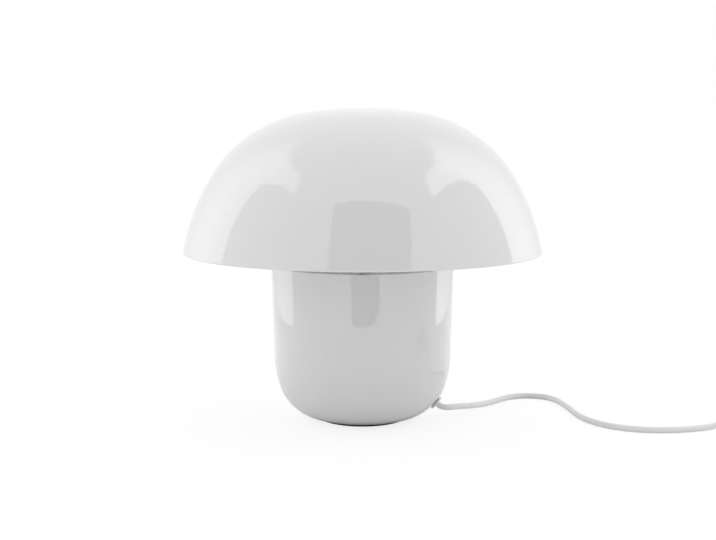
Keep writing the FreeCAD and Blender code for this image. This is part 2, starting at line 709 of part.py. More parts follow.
def tube_solid(path, radius):
    """A round tube along a path, with its volume compared with its section times its length."""
    edge = path.OrderedEdges[0]
    start = edge.valueAt(edge.FirstParameter)
    along = edge.tangentAt(edge.FirstParameter)
    section = Part.Wire([Part.Circle(start, along, radius).toShape()])
    solid = path.makePipeShell([section], True, False)
    expected = math.pi * radius * radius * path.Length
    if abs(solid.Volume / expected - 1) > 0.01:
        raise RuntimeError("a tube's volume is not its section times its length")
    return solid


def make_tube(label, points, radius):
    """A stretch of cord or wire as a solid tube through a list of points."""
    path, radii = rounded_path([Vector(*place) for place in points])
    piece = doc.addObject("Part::Feature", label)
    piece.Label = label
    piece.Shape = tube_solid(path, radius)
    tightest = min(radii) if radii else 0
    print(f"{label}: length {path.Length:.1f}, radii", " ".join(f"{r:.1f}" for r in radii),
          f"least {tightest:.1f}")
    return path.Length


def make_grommet():
    """A flanged bush through the stem's wall, on the slope of the skin."""
    body = new_body("cord_grommet")
    bore, behind = "cord_radius + cord_gap", "-stem_wall - 0.7"
    turn_solid(body, [
        point(bore, f"{behind} - 1.2"), point("grommet_radius - 0.6", f"{behind} - 1.2"),
        point("grommet_radius - 0.6", behind), point("grommet_neck", behind),
        point("grommet_neck", 0.1), point("grommet_radius", 0.1),
        point("grommet_radius", "grommet_flange - 0.6", 0.6),
        point("grommet_radius - 0.6", "grommet_flange"), point(bore, "grommet_flange"),
    ])
    body.Placement = exit_placement()
    return body


def make_cord_clamp():
    """A saddle on the iron weight that holds the cord: a block, a bar and two screws."""
    turn = Placement(Vector(0, 0, 0), Rotation(Vector(0, 0, 1), number("exit_azimuth")))
    halves = (("clamp_block", "ballast_top", "clamp_top - 0.1"),
              ("clamp_bar", "clamp_top + 0.1", "clamp_top + clamp_bar"))
    screw_y = "clamp_screw_spacing / 2"
    for label, bottom, top in halves:
        body = new_body(label)
        low, high = "clamp_reach - clamp_length / 2", "clamp_reach + clamp_length / 2"
        side = "clamp_width / 2"
        add_pad(body, "XY_Plane", f"{top} - ({bottom})", height=bottom, outline=[
            point(low, f"-{side}"), point(high, f"-{side}"), point(high, side), point(low, side),
        ], circles=[("clamp_reach", screw_y, 1.6), ("clamp_reach", f"-{screw_y}", 1.6)])
        add_pocket(body, "YZ_Plane", "clamp_length + 2", height="clamp_reach", middle=True,
                   circles=[(0, "clamp_top", "cord_radius + cord_gap + 0.05")])
        body.Placement = turn
    screws = new_body("clamp_screws")
    for y in (screw_y, f"-{screw_y}"):
        add_pad(screws, "XY_Plane", "clamp_bar + clamp_rise", height="ballast_top",
                circles=[("clamp_reach", y, 1.5)])
        add_pad(screws, "XY_Plane", 1.8, height="clamp_top + clamp_bar",
                circles=[("clamp_reach", y, 2.8)])
    screws.Placement = turn


def make_cords():
    """The cord inside the lamp, its two wires and the free cord's stretches."""
    radius = number("cord_radius")
    face = exit_placement(number("grommet_flange")).Base
    stub = exit_placement(number("grommet_flange + cord_stub")).Base
    azimuth = math.radians(number("exit_azimuth"))
    clamp_top = number("clamp_top")
    route = ((number("exit_reach - (clamp_top - exit_height) * tan(exit_slope)"), clamp_top),
             (INNER_CORD_TURN, clamp_top)) + INNER_CORD
    inner = [(reach * math.cos(azimuth), reach * math.sin(azimuth), height)
             for reach, height in route]
    make_tube("inner_cord", [tuple(face)] + inner, radius)
    print("grommet face", face, "stub", stub)
    end = INNER_CORD[-1][1]
    terminal = number(above_holder("core_floor"))
    for label, side in (("wire_brown", 1), ("wire_blue", -1)):
        make_tube(label, [(side, 0, end), (side, 0, end + 2), (side * 4.4, 0, end + 6),
                          (side * 5.5, 0, terminal)], 0.9)
    half = number("switch_length") / 2
    entry = number("switch_half")
    x, y, _ = SWITCH_PLACE
    lengths = [
        make_tube("cord_to_switch",
                  (tuple(face), tuple(stub)) + CORD_TO_SWITCH + ((x - half + 4, y, entry),), radius),
        number("switch_length") - 8,
        make_tube("cord_to_coil", ((x + half - 4, y, entry),) + CORD_TO_COIL + (coil_end(0),), radius),
        make_coil(),
        make_tube("cord_to_plug", (coil_end(-1),) + CORD_TO_PLUG + (plug_entry(),), radius),
    ]
    print(f"free cord: {sum(lengths):.0f} mm from the grommet to the plug")


# ---------------------------------------------------------------- coil

def coil_station(turns):
    """Middle of the cord after so many turns: in on the lower layer, then out on the upper one."""
    radius, pitch = number("coil_radius"), number("coil_pitch")
    total = number("coil_turns")
    climb_start = (total - 0.5) / 2
    reach = radius - pitch * (total / 2 - abs(turns - total / 2))
    part = min(max((turns - climb_start) / 0.5, 0), 1)
    height = pitch * (1 - math.cos(math.pi * part)) / 2
    angle = -2 * math.pi * turns
    return Vector(*COIL_PLACE) + Vector(reach * math.cos(angle), reach * math.sin(angle), height)


def coil_heading(turns):
    """Direction of the cord at a station, level except on the climb."""
    step = 1e-4
    total = number("coil_turns")
    first, last = max(turns - step, 0), min(turns + step, total)
    return (coil_station(last) - coil_station(first)).normalize()


def coil_end(which):
    """The free end of the coil's straight start or finish, one diameter long."""
    straight = 2 * number("cord_radius")
    if which == 0:
        return tuple(coil_station(0) - coil_heading(0) * straight)
    total = number("coil_turns")
    return tuple(coil_station(total) + coil_heading(total) * straight)


def biarc(start, heading, end, end_heading):
    """Two arcs that join two places in the given directions."""
    across = end - start
    both = heading + end_heading
    a, b, c = both.dot(both) - 4, -2 * across.dot(both), across.dot(across)
    reach = (-b - math.sqrt(b * b - 4 * a * c)) / (2 * a)
    corners = (start + heading * reach, end - end_heading * reach)
    joint = (corners[0] + corners[1]) * 0.5
    arcs = []
    for first, corner, last in ((start, corners[0], joint), (joint, corners[1], end)):
        middle = (first + last) * 0.5
        half_turn = (corner - first).getAngle(last - corner) / 2
        radius = reach / math.tan(half_turn)
        lift = radius / math.cos(half_turn) - radius
        arcs.append(Part.Arc(first, corner + (middle - corner).normalize() * lift, last).toShape())
    return arcs


def make_coil():
    """The put-away cord: one tube in two layers of loops."""
    total, step = number("coil_turns"), 0.25
    stations = [step * index for index in range(int(round(total / step)) + 1)]
    edges = [Part.LineSegment(Vector(*coil_end(0)), coil_station(0)).toShape()]
    for first, last in zip(stations, stations[1:]):
        edges += biarc(coil_station(first), coil_heading(first), coil_station(last), coil_heading(last))
    edges.append(Part.LineSegment(coil_station(total), Vector(*coil_end(-1))).toShape())
    path = Part.Wire(edges)
    piece = doc.addObject("Part::Feature", "cord_coil")
    piece.Label = "cord_coil"
    piece.Shape = tube_solid(path, number("cord_radius"))
    count = int(total * 60)
    spots = [coil_station(total * index / count) for index in range(count + 1)]
    gap = min(spots[i].distanceToPoint(spots[j])
              for i in range(len(spots)) for j in range(i + 25, len(spots)))
    print(f"cord_coil: length {path.Length:.1f}, least gap to itself"
          f" {gap - 2 * number('cord_radius'):.2f}")
    return path.Length


# ---------------------------------------------------------------- switch on the cord

def switch_outline(inset):
    """Plan of the switch: straight ends and bowed sides."""
    half_length, half_end = f"(switch_length / 2 - {inset})", f"(switch_end / 2 - {inset})"
    bow = "(switch_width - switch_end) / 2"
    radius = f"(({half_length})^2 + ({bow})^2) / (2 * ({bow}))"
    return [
        point(f"-{half_length}", f"-{half_end}", radius), point(half_length, f"-{half_end}"),
        point(half_length, half_end, radius), point(f"-{half_length}", half_end),
    ]


SWITCH_SCREWS = ((-21, 6.2), (21, -6.2))


def make_switch_half(label, bottom, top, skin, inner_bottom):
    """One half of the switch's housing: rounded outside, hollow inside, open where they meet."""
    body = new_body(label)
    add_pad(body, "XY_Plane", f"{top} - ({bottom})", switch_outline("0"), height=bottom)
    round_edges(body, "switch_end / 4", is_upright)
    round_edges(body, "switch_round", lambda edge: at_height(edge, number(skin)))
    add_pocket(body, "XY_Plane", "switch_half - switch_wall", switch_outline("switch_wall"),
               height=inner_bottom)
    for x, y in SWITCH_SCREWS:
        add_pad(body, "XY_Plane", "switch_half - switch_wall - 0.05", circles=[(x, y, 3)],
                height=inner_bottom if bottom == "0" else f"{inner_bottom} + 0.05")
    add_pocket(body, "YZ_Plane", "switch_length + 2", middle=True,
               circles=[(0, "switch_half", "cord_radius + cord_gap")])
    return body


def make_switch():
    place = Placement(Vector(*SWITCH_PLACE), Rotation())
    base = make_switch_half("switch_base", "0", "switch_half", "0", "switch_wall")
    cover = make_switch_half("switch_cover", "switch_half", "switch_height", "switch_height",
                             "switch_half")
    window_x = "sqrt(rocker_sweep^2 - (switch_height - switch_wall - pivot_height)^2) + rocker_gap"
    window_y = "rocker_width / 2 + rocker_gap"
    window = [
        point(f"-({window_x})", f"-({window_y})"), point(window_x, f"-({window_y})"),
        point(window_x, window_y), point(f"-({window_x})", window_y),
    ]
    add_pocket(cover, "XY_Plane", "switch_wall + 1", window, height="switch_height - switch_wall - 0.5")
    ear = [
        point(-2.6, "pivot_height - 2.4"), point(2.6, "pivot_height - 2.4"),
        point(2.6, "switch_height - switch_wall + 0.5"), point(-2.6, "switch_height - switch_wall + 0.5"),
    ]
    for near in ("-rocker_width / 2 - rocker_gap", "rocker_width / 2 + rocker_gap + ear_thickness"):
        add_pad(cover, "XZ_Plane", "ear_thickness", ear, height=f"-({near})",
                circles=[(0, "pivot_height", "pivot_radius + pivot_gap")])
    for x, y in SWITCH_SCREWS:
        add_pocket(base, "XY_Plane", "switch_half + 1", height="-0.5", circles=[(x, y, 1.3)])
        add_pocket(base, "XY_Plane", "2.5", height="-0.5", circles=[(x, y, 2.4)])
        add_pocket(cover, "XY_Plane", "5", height="switch_half", circles=[(x, y, 1.1)])
    screws = new_body("switch_screws")
    for x, y in SWITCH_SCREWS:
        add_pad(screws, "XY_Plane", "switch_half + 3.5", height="0.9", circles=[(x, y, 1.05)])
        add_pad(screws, "XY_Plane", "1.1", height="0.9", circles=[(x, y, 2.1)])
    contacts = new_body("switch_contacts")
    for side in (-1, 1):
        add_pad(contacts, "XZ_Plane", 5, middle=True, outline=[
            point(side * 15, "switch_wall"), point(side * 9, "switch_wall"),
            point(side * 9, "pivot_height - 5"), point(side * 10.2, "pivot_height - 5"),
            point(side * 10.2, "switch_wall + 1.2"), point(side * 15, "switch_wall + 1.2"),
        ][::-side])
    for piece in (base, cover, screws, contacts):
        piece.Placement = place
    make_rocker()


def make_rocker():
    """The rocker, off: its ends are arcs about the pivot, so the window's gap never changes."""
    body = new_body("switch_rocker")
    high, low = "5.2", "0.6"
    high_x = f"sqrt(rocker_sweep^2 - {high}^2)"
    low_x = f"sqrt(rocker_sweep^2 - {low}^2)"
    add_pad(body, "XZ_Plane", "rocker_width", middle=True, outline=[
        point(low_x, low, "rocker_sweep"), point(high_x, high), point(0, 4.3),
        point(f"-({high_x})", high, "rocker_sweep"), point(f"-({low_x})", low),
        point(-2.5, -2.2), point(2.5, -2.2),
    ])
    add_pad(body, "XZ_Plane", "rocker_width + 2 * rocker_gap + 2 * ear_thickness - 0.2", middle=True,
            circles=[(0, 0, "pivot_radius")])
    x, y, z = SWITCH_PLACE
    tilt = Rotation(Vector(0, 1, 0), -number("rocker_tilt"))
    body.Placement = Placement(Vector(x, y, z + number("pivot_height")), tilt)


# ---------------------------------------------------------------- plug

def plug_entry():
    """Where the cord meets the plug's strain relief."""
    x, y, z = PLUG_PLACE
    return (x, y, z + number("plug_thickness") / 2)


def make_plug():
    """Flat two-pin plug moulded on the cord: its pins point along -X."""
    x, y, z = PLUG_PLACE
    place = Placement(Vector(x, y, z), Rotation())
    body = new_body("plug_body")
    neck, width = "plug_neck / 2", "plug_width / 2"
    back, front = "-plug_relief", "-plug_relief - plug_length"
    add_pad(body, "XY_Plane", "plug_thickness", outline=[
        point(back, f"-{neck}"), point(back, neck), point(f"{back} - plug_length * 0.45", width),
        point(front, f"{width} - 1"), point(front, f"-({width} - 1)"),
        point(f"{back} - plug_length * 0.45", f"-({width})"),
    ])
    round_edges(body, 3.5, lambda edge: at_height(edge, 0)
                or at_height(edge, number("plug_thickness")))
    middle = "plug_thickness / 2"
    relief = body.newObject("PartDesign::Revolution", "plug_relief_cone")
    steps = 3
    corners = [point(0, middle), point(0, f"{middle} + cord_radius + 1")]
    for index in range(steps):
        left = f"-plug_relief * {(index + 0.45) / steps}"
        right = f"-plug_relief * {(index + 0.8) / steps}"
        outer = f"{middle} + cord_radius + {1.1 + 0.5 * index}"
        inner = f"{middle} + cord_radius + 0.4"
        corners += [point(left, outer), point(left, inner), point(right, inner),
                    point(right, f"{outer} + 0.2")]
    corners += [point(f"{back} - 4", f"{middle} + cord_radius + 2.5"), point(f"{back} - 4", middle)]
    profile = new_sketch(body, "XZ_Plane", corners)
    line = profile.addGeometry(
        Part.LineSegment(Vector(0, number(middle), 0), Vector(-10, number(middle), 0)), True)
    bind_corner(profile, line, 1, point(0, middle))
    bind_corner(profile, line, 2, point(-10, middle))
    relief.Profile = profile
    relief.ReferenceAxis = (profile, ["Axis0"])
    relief.Angle = 360
    body.Placement = place
    pins = new_body("plug_pins")
    for side in (1, -1):
        add_pad(pins, "YZ_Plane", "pin_length", height=f"{front} - pin_length",
                circles=[(f"{side} * pin_spacing / 2", middle, "pin_radius")])
    pins.Placement = place


# ---------------------------------------------------------------- the lamp

def make_lamp():
    ring("foot_pad", "pad_bore", "pad_radius", 0, "pad_thickness")
    make_stem_shell()
    make_ballast()
    make_ballast_screws()
    make_brackets()
    make_lid()
    make_lid_screws()
    make_nipple_set()
    make_carrier()
    make_shade()
    make_lampholder()
    make_terminal_screws()
    make_bulb()
    make_grommet()
    make_cord_clamp()
    make_switch()
    make_plug()
    make_cords()


TOOLS = ("stem_shell_spun", "ballast_cast", "exit_hole", "cord_notch")


def sub_parts():
    """The pieces of the lamp: whole bodies, cuts and tubes, without the solids used to make them."""
    kinds = ("PartDesign::Body", "Part::Cut", "Part::Feature")
    return [item for item in doc.Objects if item.TypeId in kinds and item.Label not in TOOLS]


def check_and_write():
    failed = [item.Label for item in doc.Objects
              if "Invalid" in item.State or "Error" in item.State]
    if failed:
        raise RuntimeError("failed: " + ", ".join(failed))
    for piece in sub_parts():
        if piece.Shape.isNull() or not piece.Shape.isValid() or not piece.Shape.Solids:
            raise RuntimeError("no good solid: " + piece.Label)
    os.makedirs("parts", exist_ok=True)
    for piece in sub_parts():
        piece.Shape.exportStep(f"parts/{piece.Label}.step")
    print(len(sub_parts()), "sub-parts")


make_lamp()
doc.recompute()
check_and_write()
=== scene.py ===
"""Looks of the mushroom table lamp: white lacquer dome and stem, grey-white mains cord.

Metres, in the lamp's own frame: the origin is on the table, on the lamp's axis, +Z is up and
the photograph is taken from -Y.
"""
import json
import math

import bmesh
import bpy
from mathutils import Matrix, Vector


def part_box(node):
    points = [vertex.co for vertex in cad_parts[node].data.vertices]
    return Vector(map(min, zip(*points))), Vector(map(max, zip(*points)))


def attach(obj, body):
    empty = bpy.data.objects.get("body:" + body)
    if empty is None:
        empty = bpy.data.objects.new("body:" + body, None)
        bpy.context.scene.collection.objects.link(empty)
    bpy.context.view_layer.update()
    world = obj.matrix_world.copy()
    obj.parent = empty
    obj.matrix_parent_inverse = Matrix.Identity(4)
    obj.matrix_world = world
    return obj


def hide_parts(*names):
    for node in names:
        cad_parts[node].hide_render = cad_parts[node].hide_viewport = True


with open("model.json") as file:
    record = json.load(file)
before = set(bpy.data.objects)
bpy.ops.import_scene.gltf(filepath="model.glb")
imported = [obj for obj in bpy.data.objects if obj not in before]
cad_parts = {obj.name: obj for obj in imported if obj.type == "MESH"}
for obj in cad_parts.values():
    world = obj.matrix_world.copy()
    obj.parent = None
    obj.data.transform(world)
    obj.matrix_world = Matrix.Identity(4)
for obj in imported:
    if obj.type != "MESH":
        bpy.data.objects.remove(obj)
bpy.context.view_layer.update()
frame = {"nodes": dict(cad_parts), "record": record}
scene = bpy.context.scene
nodes = frame["nodes"]
MM = 0.001


# ---------------------------------------------------------------- objects and meshes

def new_object(name, data):
    """A new object in the scene."""
    thing = bpy.data.objects.new(name, data)
    scene.collection.objects.link(thing)
    return thing


def mesh_data(name, mesh):
    """A working mesh turned into data for an object."""
    data = bpy.data.meshes.new(name)
    mesh.to_mesh(data)
    mesh.free()
    return data


def full_turn(steps):
    """Equal angles once round."""
    return [2 * math.pi * k / steps for k in range(steps)]


def join_rings(mesh, ring, after):
    """Faces between two rings that have the same number of corners."""
    count = len(ring)
    for k in range(count):
        following = (k + 1) % count
        mesh.faces.new((ring[k], ring[following], after[following], after[k]))


# ---------------------------------------------------------------- camera

# The camera that fits the rim, the stem and the foot in the photograph.
PHOTO_WIDTH = 716
SENSOR_WIDTH = 36.0
FOCAL_PIXELS = 1194
CAMERA_PLACE = (-0.0038, -1.0, 0.2435)
CAMERA_TILT = 6.71
NEAREST_SEEN = 0.05
FARTHEST_SEEN = 50


def make_camera():
    """A camera at the photograph's place, tilted a little down."""
    data = bpy.data.cameras.new("photo_camera")
    data.sensor_width = SENSOR_WIDTH
    data.lens = FOCAL_PIXELS / PHOTO_WIDTH * SENSOR_WIDTH
    data.clip_start = NEAREST_SEEN
    data.clip_end = FARTHEST_SEEN
    camera = new_object("photo_camera", data)
    camera.location = CAMERA_PLACE
    camera.rotation_euler = (math.radians(90 - CAMERA_TILT), 0, 0)
    scene.camera = camera


# ---------------------------------------------------------------- shader helpers

# A Mix node's first input, second input and output, by the kind of value that it mixes.
MIX_SOCKETS = {"FLOAT": (2, 3, 0), "RGBA": (6, 7, 2)}


def new_group(name, inputs, outputs):
    """An empty shader node group: its tree, the values given to it and the results it puts out."""
    tree = bpy.data.node_groups.new(name, "ShaderNodeTree")
    for label, kind, value in inputs:
        socket = tree.interface.new_socket(label, in_out="INPUT", socket_type=f"NodeSocket{kind}")
        socket.default_value = value
    for label, kind in outputs:
        tree.interface.new_socket(label, in_out="OUTPUT", socket_type=f"NodeSocket{kind}")
    return tree, tree.nodes.new("NodeGroupInput").outputs, tree.nodes.new("NodeGroupOutput").inputs


def label_of(key):
    """A socket's label, from its name in lower case with underscores."""
    return key.replace("_", " ").title().replace("Ior", "IOR")


def fill(tree, socket, value):
    """Link a value to a socket if it is an output, or set it as the socket's own number."""
    if isinstance(value, bpy.types.NodeSocket):
        tree.links.new(value, socket)
    else:
        socket.default_value = value


def add_node(tree, kind, **inputs):
    """A node with values for some of its inputs."""
    node = tree.nodes.new("ShaderNode" + kind)
    for key, value in inputs.items():
        fill(tree, node.inputs[label_of(key)], value)
    return node


def maths(tree, operation, *values):
    """The result of one step of arithmetic."""
    node = tree.nodes.new("ShaderNodeMath")
    node.operation = operation
    for socket, value in zip(node.inputs, values):
        fill(tree, socket, value)
    return node.outputs[0]


def hypotenuse(tree, first, second):
    """The long side over two sides at right angles."""
    squares = [maths(tree, "MULTIPLY", side, side) for side in (first, second)]
    return maths(tree, "SQRT", maths(tree, "ADD", *squares))


def ramp(tree, value, low, high, to_low=0.0, to_high=1.0):
    """A value carried smoothly from one range to another."""
    node = tree.nodes.new("ShaderNodeMapRange")
    node.interpolation_type = "SMOOTHSTEP"
    for socket, item in zip(node.inputs, (value, low, high, to_low, to_high)):
        fill(tree, socket, item)
    return node.outputs[0]


def blend(tree, factor, first, second, kind="FLOAT"):
    """A mix of two numbers, or of two colours."""
    node = tree.nodes.new("ShaderNodeMix")
    node.data_type = kind
    first_input, second_input, output = MIX_SOCKETS[kind]
    fill(tree, node.inputs[0], factor)
    fill(tree, node.inputs[first_input], first)
    fill(tree, node.inputs[second_input], second)
    return node.outputs[output]


def grey(level):
    """A colour without hue."""
    return (level, level, level, 1.0)


def here(tree):
    """The surface's place in metres."""
    return tree.nodes.new("ShaderNodeTexCoord").outputs["Object"]


def split_vector(tree, vector):
    """The three parts of a vector."""
    return add_node(tree, "SeparateXYZ", vector=vector).outputs


def noise(tree, scale, detail, vector=None):
    """Soft noise between 0 and 1 over the surface, or over another vector."""
    vector = here(tree) if vector is None else vector
    return add_node(tree, "TexNoise", vector=vector, scale=scale, detail=detail).outputs["Fac"]


# ---------------------------------------------------------------- effects that materials share

COLOUR_DETAIL = 3.0
# The gloss changes over spots that are smaller than those of the colour by this factor.
GLOSS_SPOTS = 2.7
GLOSS_DETAIL = 2.0
RING_SCALE = 1500.0
RING_DETAIL = 3.0
# How fast turning marks change along a ring, in metres of noise for each radian.
RING_STRETCH = 3 * MM


def swing(tree, field, change, middle):
    """A middle value that a field between 0 and 1 moves up and down."""
    return maths(tree, "MULTIPLY_ADD", maths(tree, "SUBTRACT", field, 0.5), change, middle)


def build_mottle():
    """Slow change of colour and gloss over a surface, as in any real finish."""
    tree, given, result = new_group(
        "mottle",
        [("Colour", "Color", grey(0.8)), ("Change", "Float", 0.03), ("Scale", "Float", 30.0),
         ("Roughness", "Float", 0.3), ("Roughness Change", "Float", 0.05)],
        [("Colour", "Color"), ("Roughness", "Float")])
    scaled = tree.nodes.new("ShaderNodeVectorMath")
    scaled.operation = "SCALE"
    shade = swing(tree, noise(tree, given["Scale"], COLOUR_DETAIL), given["Change"], 1.0)
    tree.links.new(given["Colour"], scaled.inputs[0])
    tree.links.new(shade, scaled.inputs["Scale"])
    tree.links.new(scaled.outputs[0], result["Colour"])
    field = noise(tree, maths(tree, "MULTIPLY", given["Scale"], GLOSS_SPOTS), GLOSS_DETAIL)
    roughness = swing(tree, field, given["Roughness Change"], given["Roughness"])
    tree.links.new(roughness, result["Roughness"])
    return tree


def put_out_bumps(tree, given, result, field):
    """The group's normal, for a field that raises the surface by up to the group's height."""
    bump = add_node(tree, "Bump", strength=1.0, distance=given["Height"], height=field)
    tree.links.new(bump.outputs[0], result["Normal"])


def build_grain():
    """Small bumps of a chosen size and height."""
    tree, given, result = new_group(
        "grain",
        [("Scale", "Float", 800.0), ("Height", "Float", 0.00002), ("Detail", "Float", 2.0)],
        [("Normal", "Vector")])
    put_out_bumps(tree, given, result, noise(tree, given["Scale"], given["Detail"]))
    return tree


def build_lathe_marks():
    """Fine rings about the lamp's axis, left by spinning or turning."""
    tree, given, result = new_group("lathe_marks", [("Height", "Float", 0.00001)], [("Normal", "Vector")])
    x, y, z = split_vector(tree, here(tree))
    along = maths(tree, "MULTIPLY", maths(tree, "ARCTAN2", y, x), RING_STRETCH)
    place = add_node(tree, "CombineXYZ", x=hypotenuse(tree, x, y), y=along, z=z).outputs[0]
    put_out_bumps(tree, given, result, noise(tree, RING_SCALE, RING_DETAIL, place))
    return tree


MOTTLE = build_mottle()
GRAIN = build_grain()
LATHE = build_lathe_marks()


def use_group(tree, group, **inputs):
    """A placed group with its own values."""
    node = tree.nodes.new("ShaderNodeGroup")
    node.node_tree = group
    for key, value in inputs.items():
        fill(tree, node.inputs[label_of(key)], value)
    return node


def new_material(name, colour, roughness, **sockets):
    """A material with one Principled shader; sockets are numbers set on the shader itself."""
    material = bpy.data.materials.new(name)
    material.use_nodes = True
    shader = material.node_tree.nodes["Principled BSDF"]
    shader.inputs["Base Color"].default_value = colour
    shader.inputs["Roughness"].default_value = roughness
    for key, value in sockets.items():
        shader.inputs[label_of(key)].default_value = value
    return material, material.node_tree, shader


def finish_with(tree, shader, relief, **mottle):
    """Feed mottled colour and gloss, and a relief's normal, to a shader."""
    surface = use_group(tree, MOTTLE, **mottle)
    tree.links.new(surface.outputs["Colour"], shader.inputs["Base Color"])
    tree.links.new(surface.outputs["Roughness"], shader.inputs["Roughness"])
    tree.links.new(relief.outputs["Normal"], shader.inputs["Normal"])


# ---------------------------------------------------------------- materials

LACQUER = grey(0.78)
LACQUER_ROUGHNESS = 0.05

# Share of each plug pin that is bare metal, and the soft edge of the sleeve on the rest.
PIN_BARE = 0.47
SLEEVE_EDGE = 0.1 * MM
PIN_METAL = (0.78, 0.78, 0.76, 1)
PIN_ROUGHNESS = 0.16
SLEEVE = grey(0.03)
SLEEVE_ROUGHNESS = 0.38


def lacquer():
    """Gloss white lacquer under a clear coat, with a trace of orange peel."""
    material, tree, shader = new_material(
        "white_lacquer", LACQUER, LACQUER_ROUGHNESS,
        ior=1.5, coat_weight=1.0, coat_roughness=0.015, coat_ior=1.58)
    peel = use_group(tree, GRAIN, scale=90.0, height=0.000012, detail=1.0)
    finish_with(tree, shader, peel, colour=LACQUER, change=0.012, scale=14.0,
                roughness=LACQUER_ROUGHNESS, roughness_change=0.02)
    return material


def moulded_plastic(name, colour, roughness, texture=0.00001, scale=1800.0, **sockets):
    """Moulded plastic with a fine sparked texture."""
    material, tree, shader = new_material(name, colour, roughness, **sockets)
    grain = use_group(tree, GRAIN, scale=scale, height=texture, detail=2.0)
    finish_with(tree, shader, grain, colour=colour, change=0.03, scale=60.0,
                roughness=roughness, roughness_change=0.08)
    return material


def sheet_metal(name, colour, roughness, marks=0.000006):
    """Plated or bare metal with turning marks."""
    material, tree, shader = new_material(name, colour, roughness, metallic=1.0)
    rings = use_group(tree, LATHE, height=marks)
    finish_with(tree, shader, rings, colour=colour, change=0.16, scale=45.0,
                roughness=roughness, roughness_change=0.12)
    return material


def rough_stuff(name, colour, roughness, height, scale, detail, **sockets):
    """Cast, foamed or rubbery surfaces with a coarse grain."""
    material, tree, shader = new_material(name, colour, roughness, **sockets)
    grain = use_group(tree, GRAIN, scale=scale, height=height, detail=detail)
    finish_with(tree, shader, grain, colour=colour, change=0.3, scale=90.0,
                roughness=roughness, roughness_change=0.1)
    return material


def sleeved_pins():
    """Nickel-plated pins whose half next to the plug's body is sleeved in black plastic."""
    material, tree, shader = new_material("pin_metal", PIN_METAL, PIN_ROUGHNESS)
    rings = use_group(tree, LATHE, height=0.000002)
    low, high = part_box("plug_pins")
    edge = low.x + (high.x - low.x) * PIN_BARE
    along = split_vector(tree, here(tree))[0]
    bare = ramp(tree, along, edge - SLEEVE_EDGE, edge + SLEEVE_EDGE, 1.0, 0.0)
    finish_with(tree, shader, rings, colour=blend(tree, bare, SLEEVE, PIN_METAL, "RGBA"),
                change=0.1, scale=45.0, roughness=blend(tree, bare, SLEEVE_ROUGHNESS, PIN_ROUGHNESS),
                roughness_change=0.1)
    tree.links.new(bare, shader.inputs["Metallic"])
    return material


def make_materials():
    """Each finish by the name of its slot, and the lid's own finish."""
    return {
        "white_lacquer": lacquer(),
        "satin_lacquer": moulded_plastic("satin_lacquer", grey(0.88), 0.5, scale=700.0),
        "zinc_steel": sheet_metal("zinc_steel", (0.60, 0.61, 0.63, 1), 0.32),
        "screw_steel": sheet_metal("screw_steel", (0.58, 0.58, 0.6, 1), 0.28, marks=0.000003),
        "cast_iron": rough_stuff("cast_iron", (0.07, 0.07, 0.072, 1), 0.62,
                                 height=0.0003, scale=600.0, detail=6.0, metallic=0.6),
        "foot_rubber": rough_stuff("foot_rubber", grey(0.035), 0.85,
                                   height=0.0001, scale=1600.0, detail=3.0),
        "silicone": rough_stuff("silicone", grey(0.72), 0.5, height=0.00001, scale=900.0, detail=2.0),
        "holder_plastic": moulded_plastic("holder_plastic", grey(0.78), 0.28),
        "holder_ceramic": moulded_plastic("holder_ceramic", (0.8, 0.79, 0.75, 1), 0.2, coat_weight=0.6),
        "brass": sheet_metal("brass", (0.72, 0.53, 0.24, 1), 0.26),
        "bulb_metal": sheet_metal("bulb_metal", (0.74, 0.74, 0.75, 1), 0.25),
        "bulb_black": moulded_plastic("bulb_black", grey(0.012), 0.15),
        "bulb_plastic": moulded_plastic("bulb_plastic", grey(0.8), 0.35),
        "bulb_opal": moulded_plastic("bulb_opal", (0.84, 0.84, 0.82, 1), 0.3, texture=0.000004),
        "board": moulded_plastic("board", grey(0.8), 0.4),
        "cord_plastic": moulded_plastic("cord_plastic", grey(0.86), 0.42, texture=0.000012, scale=900.0),
        "wire_brown": moulded_plastic("wire_brown", (0.16, 0.06, 0.025, 1), 0.35),
        "wire_blue": moulded_plastic("wire_blue", (0.03, 0.12, 0.42, 1), 0.35),
        "fitting_plastic": moulded_plastic("fitting_plastic", grey(0.8), 0.3),
        "rocker_plastic": moulded_plastic("rocker_plastic", grey(0.78), 0.18, texture=0.000005),
        "pin_metal": sleeved_pins(),
    }


# Nodes whose finish differs from the rest of their slot.
OWN_FINISH = {"stem_lid": "satin_lacquer"}


def paint(piece, slot, finish=None):
    """Give a piece the finish of its slot, or another one."""
    piece.data.materials.clear()
    piece.data.materials.append(MATERIALS[finish or slot])


def paint_nodes():
    """Give each node of the frame the material of its slot."""
    for part in frame["record"]["subparts"]:
        node = part["node"]
        paint(nodes[node], part["material_slot"], OWN_FINISH.get(node))


def new_piece(name, mesh, slot, body, *replaced):
    """A finished mesh as a painted piece on its body, in place of nodes of the frame."""
    piece = new_object(name, mesh_data(name, mesh))
    paint(piece, slot)
    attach(piece, body)
    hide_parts(*replaced)
    return piece


# ---------------------------------------------------------------- free cord

CORD_RADIUS = 2.5 * MM
CORD_EXIT = Vector((0.062929, -0.013376, 0.014141))
